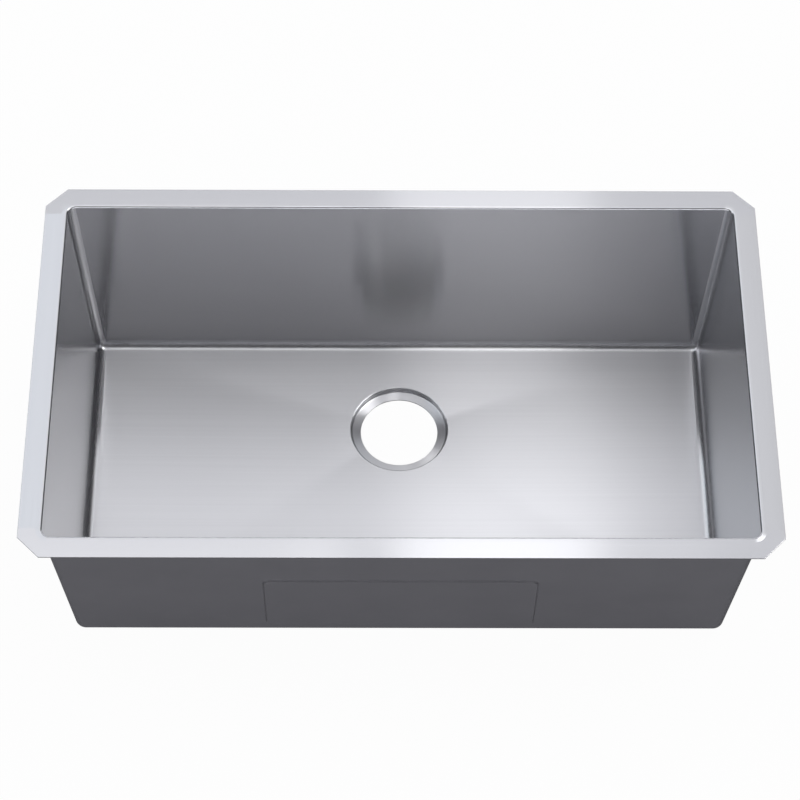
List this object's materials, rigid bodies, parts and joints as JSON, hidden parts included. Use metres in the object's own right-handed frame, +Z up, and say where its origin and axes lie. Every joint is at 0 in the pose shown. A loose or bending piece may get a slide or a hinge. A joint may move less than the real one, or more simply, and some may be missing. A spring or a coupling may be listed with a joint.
{
  "type": "undermount kitchen sink",
  "caption": "Deep rectangular undermount sink with a flat flange cut off at the corners, leaning walls, coved floor creased to a round drain seat, and a padded, coated outside.",
  "frame": {"origin": "under the middle of the sink, level with the underside of the drain seat, its lowest point", "axes": "+X along the sink to the right, +Y to the back, where the drain is, +Z up"},
  "size_m": [0.8128, 0.4826, 0.264],
  "materials": {
    "sheet": "brushed along each strip and wall, satin",
    "weld": "ground flush and brushed with the sheet",
    "sound_pad": "matte, under the coat",
    "undercoat": "matte sprayed, dark grey"
  },
  "bodies": {
    "root": {"floor_pan": "sheet", "front_wall": "sheet", "back_wall": "sheet", "left_wall": "sheet", "right_wall": "sheet", "flange_corner_front_left": "sheet", "flange_corner_front_right": "sheet", "flange_corner_back_left": "sheet", "flange_corner_back_right": "sheet", "floor_weld": "weld", "corner_weld_front_left": "weld", "corner_weld_front_right": "weld", "corner_weld_back_left": "weld", "corner_weld_back_right": "weld", "flange_weld_front_left": "weld", "flange_weld_front_right": "weld", "flange_weld_back_left": "weld", "flange_weld_back_right": "weld", "front_sound_pad": "sound_pad", "back_sound_pad": "sound_pad", "left_sound_pad": "sound_pad", "right_sound_pad": "sound_pad", "floor_pad_left": "sound_pad", "floor_pad_right": "sound_pad", "floor_pad_front": "sound_pad", "undercoat": "undercoat"}
  },
  "joints": []
}
